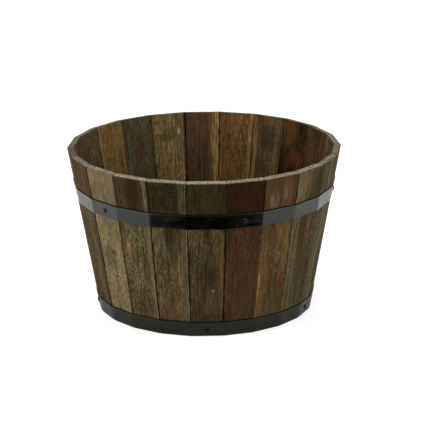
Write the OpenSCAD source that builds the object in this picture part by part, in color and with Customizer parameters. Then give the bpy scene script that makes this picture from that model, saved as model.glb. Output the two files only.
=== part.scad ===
// Wooden barrel planter: an open tub of flat staves with mitred edges that tapers to its
// foot, a boarded bottom (the head) let into a groove, and two nailed steel hoops.
// Millimetres, +Z up, origin on the floor at the centre of the tub. Staves are numbered
// from the front (-Y) towards +X, and a distance "up the stave" follows its lean.

/* [Tub] */
// Number of staves in the ring
stave_count = 22; // [18:1:26]
// Diameter across the outer corners of the rim
top_d = 515; // [430:5:620]
// Diameter across the outer corners of the foot
base_d = 406; // [340:2:490]
// Height of the rim's outer edge above the floor
tub_h = 306; // [240:2:370]
// Thickness of a stave
stave_t = 14; // [11:0.5:18]
// Gap that stays between two staves under tight hoops
stave_gap = 0.2; // [0.1:0.05:0.5]
// How deep the sharp edges of a stave are eased
arris = 0.9; // [0.4:0.1:1.4]

/* [Head] */
// Height of the head's underside above the floor
head_lift = 16; // [12:1:28]
// Thickness of the head boards
head_t = 14; // [11:0.5:18]
// Number of boards across the head, always odd so that one lies in the middle
head_board_count = 5; // [3:2:7]
// Gap between two head boards
board_gap = 0.2; // [0.1:0.05:0.5]
// Thickness of the tongue round the head
tongue_t = 5; // [4:0.5:7]
// Depth of the croze, the groove inside the staves that holds the tongue
croze_depth = 5; // [3:0.5:7]
// Clearance above and below the tongue in the croze
croze_play = 0.15; // [0.1:0.05:0.4]
// Clearance between the tongue's edge and the bottom of the croze
head_play = 0.3; // [0.2:0.1:1]
// How far the bevels of the head run in from the tongue
bevel_run = 9; // [5:1:15]
// Diameter of a dowel between two head boards
dowel_d = 6; // [5:0.5:8]
// Length of a dowel
dowel_len = 30; // [24:1:40]
// Distance between the two dowels of one joint
dowel_spacing = 180; // [140:5:220]
// Clearance round a dowel
dowel_fit = 0.05; // [0.03:0.01:0.15]
// Diameter of a drain hole
drain_d = 12; // [8:1:18]
// Distance between the two drain holes of one board
drain_spacing = 170; // [120:5:200]

/* [Hoops] */
// Width of the hoop strip
strip_w = 28; // [22:1:38]
// Thickness of the hoop strip
strip_t = 1.2; // [0.8:0.1:2]
// Clearance between the hoops and the staves
hoop_fit = 0.1; // [0.05:0.05:0.3]
// Distance down the stave from the rim to the upper hoop's top edge
upper_hoop_drop = 62.5; // [40:0.5:90]
// Distance up the stave from the floor to the lower hoop's bottom edge
lower_hoop_lift = 0.8; // [0.6:0.1:10]
// Length over which the two ends of a hoop overlap
lap_len = 36; // [32:1:38]
// Gap between the two layers of the lap
lap_gap = 0.1; // [0.05:0.05:0.2]
// Length over which the outer end steps down beside the lap
joggle_len = 4; // [3:0.5:5]
// Nail after which the upper hoop's lap comes, midway to the next nail
upper_lap_nail = 4; // [1:1:4]
// Nail after which the lower hoop's lap comes, midway to the next nail
lower_lap_nail = 3; // [1:1:4]

/* [Fixings] */
// Number of nails in each hoop
nails_per_hoop = 5; // [4:1:6]
// Stave that takes the upper hoop's first nail
upper_first_nail = 20; // [1:1:22]
// Stave that takes the lower hoop's first nail
lower_first_nail = 1; // [1:1:22]
// Diameter of a nail's domed head
nail_head_d = 10.5; // [7:0.5:13]
// Height of a nail's head
nail_head_h = 2.4; // [1.4:0.1:3.5]
// Diameter of a nail's shank
nail_d = 2.8; // [2.4:0.1:3.6]
// Wood left behind a nail's point
nail_cover = 3; // [2:0.5:5]
// Clearance round a nail
nail_fit = 0.05; // [0.03:0.01:0.15]
// Diameter of a rivet's domed head
rivet_head_d = 8; // [6.5:0.5:10]
// Height of a rivet's head
rivet_head_h = 1.8; // [1.2:0.1:2.4]
// Diameter of a rivet's shank
rivet_d = 4.5; // [3.5:0.25:5]
// Diameter of a rivet's foot, hammered flush inside the hoop
rivet_foot_d = 6.2; // [5.4:0.1:7]
// Clearance round a rivet
rivet_fit = 0.05; // [0.03:0.01:0.1]
// Gap under the heads of nails and rivets
head_seat = 0.05; // [0.02:0.01:0.1]

/* [Hidden] */
$fn = 48;
// Sides of the large circles, those of the head and of the croze
head_fn = 180;
// How far a cut runs past the surface that it starts from
over = 1;

// The ring of staves
step = 360 / stave_count;
half_step = step / 2;
lean = atan((top_d - base_d) / 2 * cos(half_step) / tub_h);
stave_len = tub_h / cos(lean);
stave_run = stave_t / cos(lean);
spare = 2 * stave_t;
blank_w = top_d * sin(half_step) + spare;

// The head and the croze that holds it
croze_t = tongue_t + 2 * croze_play;
tongue_low = head_lift + (head_t - tongue_t) / 2;
tongue_top = tongue_low + tongue_t;
head_top = head_lift + head_t;
croze_low = tongue_low - croze_play;
croze_r = inner_r(tongue_low + tongue_t / 2) + croze_depth;
head_r = croze_r - head_play;
tongue_root_clear = 1;
tongue_root_r = inner_r(croze_low) - tongue_root_clear;
board_w = 2 * head_r / head_board_count;
dowel_chamfer = 0.8;
dowel_end_space = 1;

// The hoops and what fastens them
upper_hoop_lift = stave_len - upper_hoop_drop - strip_w;
lap_step = strip_t + lap_gap;
lap_end_gap = 1;
lap_landing = 2;
rivet_foot_h = 0.8;
nail_len = strip_t + hoop_fit + stave_t - nail_cover;
nail_point_len = 4;
nail_bore_space = 0.5;

// Wood tones seen round the tub, from pale olive to dark red-brown, and how many tones a
// stave's own lies past its neighbour's
wood_tones = [
    [0.30, 0.24, 0.16], [0.24, 0.17, 0.11], [0.37, 0.30, 0.20],
    [0.28, 0.18, 0.12], [0.33, 0.28, 0.19], [0.21, 0.15, 0.09]
];
tone_stride = 5;
head_tone = [0.29, 0.22, 0.15];
dowel_tone = [0.72, 0.58, 0.40];
hoop_tone = [0.09, 0.09, 0.09];
nail_tone = [0.05, 0.05, 0.05];

function stave_name(k) = str("stave_", k < 9 ? "0" : "", k + 1);
function board_name(i) = str("head_board_", i + 1);

// ---- Measures of the ring -------------------------------------------------------------

// Radius of the outer corners at height z
function corner_r(z) = base_d / 2 + (top_d - base_d) / 2 * z / tub_h;
// Distance from the axis to the middle of a stave's outer and inner face at height z
function outer_r(z) = corner_r(z) * cos(half_step);
function inner_r(z) = outer_r(z) - stave_run;
// Staves, counted from 0, that take a hoop's nails, spread as evenly as whole staves allow
function nail_staves(first) =
    [for (i = [0 : nails_per_hoop - 1])
        (first - 1 + floor(i * stave_count / nails_per_hoop)) % stave_count];
// Stave, counted from 0, that carries a hoop's lap: midway between the given nail and the next
function lap_stave(first, nail) =
    (first - 1 + floor((nail - 0.5) * stave_count / nails_per_hoop)) % stave_count;

// ---- Frames ---------------------------------------------------------------------------

// Children stand on stave k: x across its outer face, y into the wood, z up the stave
module on_stave(k) {
    rotate([0, 0, k * step])
        translate([0, -outer_r(0), 0])
            rotate([lean, 0, 0])
                children();
}

// The sector of the ring that belongs to stave k, drawn back by half a gap on both sides
module sector(k, gap) {
    apex = gap / 2 / sin(half_step);
    side = top_d * tan(half_step);
    rotate([0, 0, k * step])
        linear_extrude(height = tub_h + spare)
            polygon([[0, -apex], [-side, -apex - top_d], [side, -apex - top_d]]);
}

// A domed head of the given size that stands on z = 0, as a profile to revolve
module dome_profile(d, h) {
    dome_r = (d * d / 4 + h * h) / (2 * h);
    intersection() {
        translate([0, h - dome_r])
            circle(r = dome_r);
        square([d / 2, h]);
    }
}

// ---- Staves ---------------------------------------------------------------------------

// A bar with a diamond section that eases the edge it is laid along
module arris_bar(length) {
    linear_extrude(height = length, center = true)
        rotate(45)
            square(arris * sqrt(2), center = true);
}

// Eases the long edge at a joint, whose radius goes from r_foot at the floor to r_rim
module eased_joint(r_foot, r_rim) {
    translate([(r_foot + r_rim) / 2, 0, tub_h / 2])
        rotate([0, atan((r_rim - r_foot) / tub_h), 0])
            arris_bar(stave_len + 2 * spare);
}

// The croze: a round groove cut inside the whole ring, shallower at the stave joints
module croze_cut() {
    translate([0, 0, croze_low])
        cylinder(h = croze_t, r = croze_r, $fn = head_fn);
}

// Flat board, square at the rim, sawn level at the foot so that the tub stands firm
module stave(k) {
    color(wood_tones[(k * tone_stride) % len(wood_tones)])
        difference() {
            intersection() {
                on_stave(k)
                    translate([-blank_w / 2, 0, -spare])
                        cube([blank_w, stave_t, stave_len + spare]);
                sector(k, stave_gap);
            }
            croze_cut();
            for (side = [-0.5, 0.5])
                rotate([0, 0, (k + side) * step - 90]) {
                    eased_joint(corner_r(0), corner_r(tub_h));
                    eased_joint(inner_r(0) / cos(half_step), inner_r(tub_h) / cos(half_step));
                }
            for (y = [0, stave_t])
                on_stave(k)
                    translate([0, y, stave_len])
                        rotate([0, 90, 0])
                            arris_bar(blank_w);
            nail_bores(k);
        }
}

// The pilot bores of the nails that go into stave k
module nail_bores(k) {
    for (hoop = [[upper_first_nail, upper_hoop_lift], [lower_first_nail, lower_hoop_lift]])
        if (len(search(k, nail_staves(hoop[0]))) > 0)
            nail_site(k, hoop[1])
                cylinder(h = nail_len + nail_bore_space, d = nail_d + 2 * nail_fit);
}

// ---- Head -----------------------------------------------------------------------------

// The whole head, turned: flat faces, a bevel above and below, and the tongue between them
module head_disc() {
    flat_r = tongue_root_r - bevel_run;
    rotate_extrude($fn = head_fn)
        polygon([[0, head_lift], [flat_r, head_lift], [tongue_root_r, tongue_low],
                 [head_r, tongue_low], [head_r, tongue_top], [tongue_root_r, tongue_top],
                 [flat_r, head_top], [0, head_top]]);
}

// Children lie at each dowel's middle, along the dowel
module dowel_sites() {
    for (joint = [1 : head_board_count - 1], side = [-1, 1])
        translate([side * dowel_spacing / 2, joint * board_w - head_r, head_lift + head_t / 2])
            rotate([90, 0, 0])
                children();
}

// One hole in the middle of the head and two in each board beside it
module drain_holes() {
    for (site = [[0, 0], [-1, -1], [1, -1], [-1, 1], [1, 1]])
        translate([site[0] * drain_spacing / 2, site[1] * board_w, head_lift - over])
            cylinder(h = head_t + 2 * over, d = drain_d);
}

module head_board(i) {
    color(head_tone)
        difference() {
            intersection() {
                head_disc();
                translate([-top_d / 2, i * board_w - head_r + board_gap / 2, 0])
                    cube([top_d, board_w - board_gap, head_top + spare]);
            }
            dowel_sites()
                cylinder(h = dowel_len + 2 * dowel_end_space, d = dowel_d + 2 * dowel_fit,
                         center = true);
            drain_holes();
        }
}

// Two dowels with bevelled ends in each joint of the head
module head_dowels() {
    r = dowel_d / 2;
    end = dowel_len / 2;
    color(dowel_tone)
        dowel_sites()
            rotate_extrude()
                polygon([[0, -end], [r - dowel_chamfer, -end], [r, dowel_chamfer - end],
                         [r, end - dowel_chamfer], [r - dowel_chamfer, end], [0, end]]);
}

// ---- Hoops ----------------------------------------------------------------------------

// Children stand at a nail's site on stave k: z into the wood, from the strip's outer face
module nail_site(k, lift) {
    on_stave(k)
        translate([0, -hoop_fit - strip_t, lift + strip_w / 2])
            rotate([-90, 0, 0])
                children();
}

// Children stand at both rivets of a lap: z outwards, from the strip's inner face
module rivet_sites(k, lift) {
    for (side = [-1, 1])
        on_stave(k)
            translate([side * lap_len / 4, -hoop_fit, lift + strip_w / 2])
                rotate([90, 0, 0])
                    children();
}

// Everything inside the planes that lie `out` outside the staves' outer faces
module ring_block(out) {
    intersection_for (k = [0 : stave_count - 1])
        on_stave(k)
            translate([-top_d, -out, -top_d])
                cube([2 * top_d, 2 * top_d, 3 * top_d]);
}

// The opening in the ring beside the inner end, where the outer end steps down
module lap_slot(k, lift) {
    on_stave(k)
        translate([lap_len / 2, -hoop_fit - 2 * strip_t, lift - spare])
            cube([lap_end_gap + joggle_len, 3 * strip_t, strip_w + 2 * spare]);
}

// The outer end: it lies over the inner one, steps down beside it and joins the ring
module lap_strip(k, lift) {
    low = -hoop_fit;
    high = low - lap_step;
    step_x = lap_len / 2 + lap_end_gap;
    land_x = step_x + joggle_len;
    intersection() {
        on_stave(k)
            translate([0, 0, lift - spare])
                linear_extrude(height = strip_w + 2 * spare)
                    polygon([[-lap_len / 2, high], [step_x, high], [land_x, low],
                             [land_x + lap_landing, low], [land_x + lap_landing, low - strip_t],
                             [land_x, low - strip_t], [step_x, high - strip_t],
                             [-lap_len / 2, high - strip_t]]);
        sector(k, 0);
    }
}

// A strip bent at every stave joint, its ends lapped and riveted, with holes for its nails
module hoop(lift, first_nail, lap_k) {
    color(hoop_tone)
        difference() {
            intersection() {
                union() {
                    difference() {
                        ring_block(hoop_fit + strip_t);
                        ring_block(hoop_fit);
                        lap_slot(lap_k, lift);
                    }
                    lap_strip(lap_k, lift);
                }
                translate([-top_d, -top_d, lift * cos(lean)])
                    cube([2 * top_d, 2 * top_d, strip_w * cos(lean)]);
            }
            for (k = nail_staves(first_nail))
                nail_site(k, lift)
                    cylinder(h = 3 * strip_t, d = nail_d + 2 * nail_fit, center = true);
            rivet_sites(lap_k, lift) {
                cylinder(h = 4 * lap_step, d = rivet_d + 2 * rivet_fit, center = true);
                cylinder(h = rivet_foot_h, d1 = rivet_foot_d + 2 * rivet_fit,
                         d2 = rivet_d + 2 * rivet_fit);
            }
        }
}

module upper_hoop() {
    hoop(upper_hoop_lift, upper_first_nail, lap_stave(upper_first_nail, upper_lap_nail));
}

module lower_hoop() {
    hoop(lower_hoop_lift, lower_first_nail, lap_stave(lower_first_nail, lower_lap_nail));
}

// Domed nails through the strip into the middle of their staves
module hoop_nails(lift, first_nail) {
    r = nail_d / 2;
    color(nail_tone)
        for (k = nail_staves(first_nail))
            nail_site(k, lift)
                rotate_extrude() {
                    translate([0, -head_seat])
                        mirror([0, 1])
                            dome_profile(nail_head_d, nail_head_h);
                    polygon([[0, -head_seat - nail_head_h / 2], [r, -head_seat - nail_head_h / 2],
                             [r, nail_len - nail_point_len], [0, nail_len]]);
                }
}

module upper_hoop_nails() {
    hoop_nails(upper_hoop_lift, upper_first_nail);
}

module lower_hoop_nails() {
    hoop_nails(lower_hoop_lift, lower_first_nail);
}

// Domed rivets whose feet are hammered into countersinks inside the strip
module hoop_rivets(lift, lap_k) {
    r = rivet_d / 2;
    top = lap_step + strip_t + head_seat;
    color(nail_tone)
        rivet_sites(lap_k, lift)
            rotate_extrude() {
                polygon([[0, 0], [rivet_foot_d / 2, 0], [r, rivet_foot_h],
                         [r, top + rivet_head_h / 2], [0, top + rivet_head_h / 2]]);
                translate([0, top])
                    dome_profile(rivet_head_d, rivet_head_h);
            }
}

module upper_hoop_rivets() {
    hoop_rivets(upper_hoop_lift, lap_stave(upper_first_nail, upper_lap_nail));
}

module lower_hoop_rivets() {
    hoop_rivets(lower_hoop_lift, lap_stave(lower_first_nail, lower_lap_nail));
}

// ---- Assembly -------------------------------------------------------------------------

for (k = [0 : stave_count - 1])
    stave(k);
for (i = [0 : head_board_count - 1])
    head_board(i);
head_dowels();
upper_hoop();
lower_hoop();
upper_hoop_nails();
lower_hoop_nails();
upper_hoop_rivets();
lower_hoop_rivets();
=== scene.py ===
"""Wooden barrel planter: the finish of its staves, head, hoops, nails and rivets.

Metres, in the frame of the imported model: +Z up, origin on the floor at the tub's centre,
-Y to the front. Staves are counted from the front one towards +X, as in the model.
"""

import math

import bpy
import numpy as np
from mathutils import Matrix, Vector


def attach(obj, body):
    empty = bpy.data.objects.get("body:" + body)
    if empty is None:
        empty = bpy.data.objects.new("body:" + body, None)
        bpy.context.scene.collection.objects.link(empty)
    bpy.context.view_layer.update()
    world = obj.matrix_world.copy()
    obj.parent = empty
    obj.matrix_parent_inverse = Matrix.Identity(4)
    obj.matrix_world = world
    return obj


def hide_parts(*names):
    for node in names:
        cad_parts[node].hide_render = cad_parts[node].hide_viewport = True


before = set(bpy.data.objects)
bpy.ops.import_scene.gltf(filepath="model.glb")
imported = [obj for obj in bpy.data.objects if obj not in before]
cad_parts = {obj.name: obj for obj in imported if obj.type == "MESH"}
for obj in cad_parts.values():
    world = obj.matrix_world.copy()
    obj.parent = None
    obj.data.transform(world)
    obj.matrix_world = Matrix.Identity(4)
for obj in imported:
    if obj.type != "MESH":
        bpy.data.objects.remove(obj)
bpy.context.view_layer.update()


# ---- Staves: the boards ----------------------------------------------------------------
# Twenty-two flat boards of a hard, streaky timber, ripped so that both long edges taper and
# are mitred to meet their neighbours, grooved near the foot for the head, square-cut at the
# rim, sawn level at the foot, and stained dark before the rim was trimmed.

STAVE_COUNT = 22
STEP = 2 * math.pi / STAVE_COUNT
RIM_D = 0.515
FOOT_D = 0.406
TUB_H = 0.306
STAVE_T = 0.014
STAVE_GAP = 0.00002
LEAN = math.atan((RIM_D - FOOT_D) / 2 * math.cos(STEP / 2) / TUB_H)
STAVE_LEN = TUB_H / math.cos(LEAN)
FOOT_R = FOOT_D / 2 * math.cos(STEP / 2)

CROZE_LOW = 0.02035
CROZE_HIGH = 0.02565
CROZE_R = 0.19577

ARRIS_R = 0.0009
ARRIS_MIN = 0.0005
ARRIS_MAX = 0.0014
ARRIS_ROWS = 5
RIM_ARRIS = 0.0012
RIM_EASED = 0.012
CROZE_LIP = 0.0001
RELIEF_MAX = 0.0006
MEAN_HALF = 0.033
FACE_COLUMN = 0.00095
FACE_ROW = 0.004
EDGE_COLUMN = 0.0022

STAVE_SEED = 1000
ARRIS_PITCH = 0.035
ARRIS_SWING = 0.3
CHIP_PITCH = 0.012
CHIP_FROM = 0.9
CHIP_DEPTH = 0.9
RING_BEND = 0.0035
RING_WAVER = 0.35
RING_RELIEF = 0.00011
BOARD_RELIEF = 0.00005
KNOT_RELIEF = 0.00025
KNOT_SWEEP = 2.2
KNOT_SPREAD = 1.1
KNOT_SHIFT = 0.5


def spread(low, high, pitch, ease):
    """Places from low to high about `pitch` apart, with ARRIS_ROWS closer ones inside each
    of the two eased ends."""
    ends = ease * np.linspace(0, 1, ARRIS_ROWS)
    middle = np.linspace(low + ease, high - ease, max(2, round((high - low) / pitch)) + 1)
    return np.concatenate([low + ends[:-1], middle, high - ends[-2::-1]])


def box_skin(a, b, c):
    """Closed skin of a block cut by planes at a, b and c: each lattice point that lies on
    the surface once, and the four-sided faces between neighbours, facing outwards."""
    shape = (len(a), len(b), len(c))
    lattice = np.arange(shape[0] * shape[1] * shape[2]).reshape(shape)
    sides = []
    for axis in range(3):
        for end in (0, -1):
            side = np.take(lattice, end, axis=axis)
            quads = np.stack([side[:-1, :-1], side[1:, :-1], side[1:, 1:], side[:-1, 1:]], -1)
            quads = quads.reshape(-1, 4)
            inwards = (end == 0) != (axis == 1)
            sides.append(quads[:, ::-1] if inwards else quads)
    used, quads = np.unique(np.concatenate(sides), return_inverse=True)
    i, j, k = np.unravel_index(used, shape)
    return a[i], b[j], c[k], quads.reshape(-1, 4)


def make_piece(name, node, slot, material, points, quads, **fields):
    """Smooth mesh object from points (n, 3) and quads (m, 4), with one named attribute per
    field, a number or a vector for each point. It stands for the CAD node."""
    mesh = bpy.data.meshes.new(name)
    mesh.vertices.add(len(points))
    mesh.vertices.foreach_set("co", points.astype(np.float32).ravel())
    mesh.loops.add(quads.size)
    mesh.loops.foreach_set("vertex_index", quads.astype(np.int32).ravel())
    mesh.polygons.add(len(quads))
    mesh.polygons.foreach_set("loop_start", np.arange(0, quads.size, 4, dtype=np.int32))
    mesh.polygons.foreach_set("use_smooth", np.ones(len(quads), bool))
    mesh.update(calc_edges=True)
    for field, values in fields.items():
        is_vector = np.ndim(values) == 2
        kind = "FLOAT_VECTOR" if is_vector else "FLOAT"
        layer = mesh.attributes.new(field, kind, "POINT")
        layer.data.foreach_set("vector" if is_vector else "value",
                               np.asarray(values, np.float32).ravel())
    mesh.materials.append(material)
    piece = bpy.data.objects.new(name, mesh)
    bpy.context.scene.collection.objects.link(piece)
    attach(piece, "root")
    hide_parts(node)


def drift(rng, x, z, x_size, z_size, waves=7):
    """Smooth wandering value of either sign and a size of about 1: the sum of sine waves of
    random direction and phase, about x_size long across the board and z_size along it."""
    turn = rng.uniform(0, 2 * math.pi, waves)[:, None]
    phase = rng.uniform(0, 2 * math.pi, waves)[:, None]
    pace = rng.uniform(0.6, 1.7, waves)[:, None]
    along = np.cos(turn) * x[None] / x_size + np.sin(turn) * z[None] / z_size
    return np.sin(2 * math.pi * pace * along + phase).sum(0) / math.sqrt(waves)


def near_knot(x, z, knot, wide, tall):
    """1 at a knot (x, z, size), falling to 0 about `wide` and `tall` times its size away."""
    knot_x, knot_z, size = knot
    return np.exp(-((x - knot_x) / (wide * size)) ** 2 - ((z - knot_z) / (tall * size)) ** 2)


def ring_figure(rng, x, y, z, pith, ring, knots):
    """Number of growth rings between the pith and each point of the board: the distance
    from the pith's leaning line, over the width of a ring, bent by slow drift and swept
    round each knot."""
    pith_x, pith_y, pith_tilt = pith
    bent = x + RING_BEND * drift(rng, x, z, 0.10, 0.22)
    for knot in knots:
        knot_x, _, size = knot
        near = near_knot(x, z, knot, 1.0, KNOT_SWEEP)
        bent = bent + near * (x - knot_x) * KNOT_SPREAD + near * size * KNOT_SHIFT
    reach = np.hypot(bent - pith_x, y - pith_y - pith_tilt * z)
    return reach / ring + RING_WAVER * drift(rng, x, z, 0.03, 0.25)


def ease(gaps, radius):
    """Rounds the block's edges. Gaps are each point's distances from the nearest side, face
    and end; where they are under the radius they are pulled onto a quarter round. Also
    gives the direction that the skin faces there, as the share of each of the three."""
    lean_in = np.clip(radius - gaps, 0, None)
    facing = lean_in / np.sqrt((lean_in ** 2).sum(0))
    return np.where(gaps < radius, radius - radius * facing, gaps), facing


def around(angle, x, y, z):
    """Points given as they lie at the front, turned by `angle` round the tub's axis."""
    return np.stack([x * np.cos(angle) - y * np.sin(angle),
                     x * np.sin(angle) + y * np.cos(angle), z + 0 * x], -1)


def on_stave(number, x, y, z):
    """Points given across, into and up along a stave, moved to where the stave leans."""
    return around((number - 1) * STEP, x, y * math.cos(LEAN) - z * math.sin(LEAN) - FOOT_R,
                  y * math.sin(LEAN) + z * math.cos(LEAN))


def stave(number, material, pith, ring, knots=()):
    """One stave. A point (a, b, c) of the block goes a of the half width across, b of the
    thickness in and c of the length up. Its edges are eased to a round of wandering radius,
    then the skin is drawn in by grain relief and a hollow at each knot."""
    rng = np.random.default_rng(STAVE_SEED + number)
    half_w = RIM_D / 2 * math.sin(STEP / 2)
    a = spread(-1, 1, FACE_COLUMN / half_w, ARRIS_MAX / half_w)
    b = spread(0, 1, EDGE_COLUMN / STAVE_T, ARRIS_MAX / STAVE_T)
    c = spread(0, 1, FACE_ROW / STAVE_LEN, ARRIS_MAX / STAVE_LEN)
    inner_h = TUB_H + STAVE_T * math.sin(LEAN)
    groove = np.array([CROZE_LOW, CROZE_HIGH]) / inner_h
    lip = CROZE_LIP / inner_h
    c = np.unique(np.concatenate([c, groove, groove + [-lip, lip]]))
    a, b, c, quads = box_skin(a, b, c)

    # The croze: the board is thinner where the groove's circle cuts into its inner face
    in_groove = (c > groove[0] - lip / 2) & (c < groove[1] + lip / 2)
    face_r = FOOT_R + inner_h * c * math.tan(LEAN)
    across = a * CROZE_R * math.tan(STEP / 2)
    left_over = (face_r - np.sqrt(CROZE_R ** 2 - across ** 2)) * math.cos(LEAN)
    thick = np.where(in_groove, left_over, STAVE_T)

    def half_width(y, z):
        """From the board's middle to its mitred side, half a gap short of its neighbour's."""
        radius = FOOT_R + z * math.sin(LEAN) - y * math.cos(LEAN)
        return radius * math.tan(STEP / 2) - STAVE_GAP / 2 / math.cos(STEP / 2)

    side_a, side_b, side_c = np.sign(a), np.sign(b - 0.5), np.sign(c - 0.5)
    y = b * thick
    long = STAVE_LEN + y * math.tan(LEAN)
    z = STAVE_LEN - (1 - c) * long
    width = half_width(y, z)
    gaps = np.stack([width * (1 - np.abs(a)), thick * np.minimum(b, 1 - b),
                     long * np.minimum(c, 1 - c)])

    # Arrises: each long edge has a number of its own, so that it wears and chips by itself
    edge = side_a * 0.4 + side_b * 0.3
    chips = np.clip(drift(rng, edge, z, 1.0, CHIP_PITCH) - CHIP_FROM, 0, 1)
    swing = ARRIS_SWING * drift(rng, edge, z, 1.0, ARRIS_PITCH)
    radius = ARRIS_R * (1 + swing + CHIP_DEPTH * chips)
    radius = np.clip(radius, ARRIS_MIN, ARRIS_MAX)
    radius = np.maximum(radius, RIM_ARRIS * np.clip(1 - (1 - c) * long / RIM_EASED, 0, 1))
    radius = np.where(in_groove & (b > 0.5), CROZE_LIP, radius)
    gaps, facing = ease(gaps, radius)

    # Relief: early wood lies a little lower than late wood, and a knot is dished. The jointed
    # sides stay flat
    x = side_a * (width - gaps[0])
    figure = ring_figure(rng, x, y, z, pith, ring, knots)
    relief = RING_RELIEF * (0.5 - 0.5 * np.cos(2 * math.pi * figure)) ** 2
    relief += BOARD_RELIEF * (1 + drift(rng, a, z, 0.9, 0.16))
    for knot in knots:
        relief += KNOT_RELIEF * near_knot(x, z, knot, 0.6, 0.8)
    standing = (side_c < 0) & (facing[2] > 0.7)
    relief = np.clip(relief, 0, RELIEF_MAX) * (1 - facing[0])
    gaps = gaps + facing * np.where(standing, 0, relief)

    y = np.where(side_b < 0, gaps[1], thick - gaps[1])
    c = np.where(side_c < 0, gaps[2], long - gaps[2]) / long
    z = STAVE_LEN - (1 - c) * (STAVE_LEN + y * math.tan(LEAN))
    x = side_a * (half_width(y, z) - gaps[0])
    place = np.stack([x, y, z], -1)
    even = np.stack([x / half_width(y, z) * MEAN_HALF, y, z], -1)
    wear = np.sort(facing, axis=0)[-2] * math.sqrt(2)
    make_piece(f"stave_{number:02d}_board", f"stave_{number:02d}", "stave_wood", material,
               on_stave(number, x, y, z), quads, place=even,
               board=place + rng.uniform(-3, 3, 3), figure=figure, wear=np.clip(wear, 0, 1),
               joint=facing[0], side=gaps[0], rim=facing[2] * (side_c > 0))


# ---- Staves: the finish ----------------------------------------------------------------
# A thin dark stain over boards that differ from red-brown to olive, rubbed back on the
# arrises and wiped off the fresh-sawn rim, with a satin oil on top.

WHEAT = (0.200, 0.158, 0.084)
TAN = (0.172, 0.132, 0.066)
HONEY = (0.205, 0.130, 0.050)
SAPWOOD = (0.320, 0.215, 0.080)
OLIVE = (0.132, 0.100, 0.050)
OLIVE_DEEP = (0.076, 0.057, 0.026)
MOSS = (0.098, 0.084, 0.050)
SMOKE = (0.026, 0.020, 0.006)
WALNUT = (0.096, 0.068, 0.036)
UMBER = (0.080, 0.050, 0.023)
UMBER_DEEP = (0.044, 0.028, 0.012)
RUSSET = (0.078, 0.040, 0.018)
PLUM = (0.098, 0.051, 0.029)
DARK_RED = (0.027, 0.010, 0.003)
AMBER = (0.175, 0.094, 0.034)
ORANGE = (0.180, 0.066, 0.013)
RUBBED = (0.210, 0.165, 0.095)
RIM_PALE = (0.500, 0.435, 0.320)
RIM_GREY = (0.062, 0.050, 0.034)
# Near black, for pores and dirt and for painted shade in the joints and over the hoops
SOOT_AND_SHADE = (0.006, 0.004, 0.002)
GREENER = (0.84, 0.93, 0.88)
REDDER = (1.20, 1.08, 1.04)
LATE_WOOD = (0.42, 0.34, 0.27)
RING_END = (0.55, 0.48, 0.40)

# Shade or roughness at the ends of a noise, and how much darker and paler some are
LINE_SHADE = (0.64, 1.36)
FLECK_SWING = (0.50, 0.55)
FIBRE_SWING = (0.38, 0.42)
STAIN_SPECKLE = (0.6, 1.4)
OIL_DULL = (0.78, 0.62)

# Where soft borders start and end, in metres, and how far noise makes them ragged
OUTER_SKIN = (0.004, 0.003)
# Band of dirt and painted shade beside each joint
JOINT_DIRT_AND_SHADE = (0.0039, 0.0029)
JOINT_RAGGED = 0.004
# Painted shade line over the top edge of each hoop
HOOP_SHADE = (0.0034, 0.0025)
HOOP_RAGGED = 0.0014
UNDER_STRIP = (-0.004, -0.003)
RIM_DARK = (0.0056, 0.0070)
RIM_RAGGED = 0.002
RIM_JOINT = (0.0003, 0.0012)
SAW_FROM = (0.250, 0.260)
SAW_ACROSS = (0.020, 0.008)
SAW_PITCH = 0.0042
SAW_SWAY = 9.0
WANDER = 0.018
FINE_STREAK = 0.003
HOOP_W = 0.028
HOOP_TOPS = (STAVE_LEN - 0.0625, 0.0008 + HOOP_W)
UNDER_HOOP = (HOOP_TOPS[0] - 0.018, HOOP_TOPS[0] - 0.008)

# Noise in a board: blobs per metre across, through and along it, then detail and roughness
NOISE = dict(tone=((40, 40, 9), 3.0, 0.55), wash=((34, 34, 11), 2.0, 0.55),
             lines=((460, 460, 14), 4.0, 0.7), fleck=((480, 480, 140), 4.0, 0.75),
             fibre=((1500, 1500, 38), 5.0, 0.65), pore=((2600, 2600, 95), 2.0, 0.55),
             wander=((25, 25, 14), 3.0, 0.55), ragged=((330, 330, 40), 4.0, 0.65),
             sway=((45, 45, 70), 3.0, 0.55), broken=((60, 60, 160), 3.0, 0.55),
             pipes=((600, 600, 60), 4.0, 0.7), blotch=((190, 190, 60), 2.0, 0.55))


def join(tree, node, inputs):
    """Inputs of a node, by name or number: a socket is joined to it, a value is set."""
    for key, value in inputs.items():
        if isinstance(value, bpy.types.NodeSocket):
            tree.links.new(value, node.inputs[key])
        else:
            node.inputs[key].default_value = value


def add(tree, kind, inputs, output=0, **settings):
    """Puts a node in the tree, with settings as its own properties. Gives its output."""
    node = tree.nodes.new("ShaderNode" + kind)
    for key, value in settings.items():
        setattr(node, key, value)
    join(tree, node, inputs)
    return node.outputs[output]


def read(tree, name, output="Fac"):
    """The attribute of that name, as a number or, with output Vector, as a place."""
    return add(tree, "Attribute", {}, output, attribute_name=name)


def calc(tree, operation, first, second=0.0):
    """One step of arithmetic on sockets or numbers."""
    return add(tree, "Math", {0: first, 1: second}, operation=operation)


def times(tree, product, *factors):
    """Sockets or numbers multiplied with each other, from left to right."""
    for factor in factors:
        product = calc(tree, "MULTIPLY", product, factor)
    return product


def band(tree, value, low, high, to_low=0.0, to_high=1.0):
    """Value from low to high, brought smoothly to the range to_low to to_high."""
    return add(tree, "MapRange", {0: value, 1: low, 2: high, 3: to_low, 4: to_high},
               interpolation_type="SMOOTHSTEP")


def blend(tree, share, first, second, how="MIX"):
    """Two colours put together, with `share` of the second."""
    paint = [c if isinstance(c, bpy.types.NodeSocket) else (*c, 1.0) for c in (first, second)]
    return add(tree, "Mix", {0: share, 6: paint[0], 7: paint[1]}, 2, data_type="RGBA",
               blend_type=how)


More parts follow.
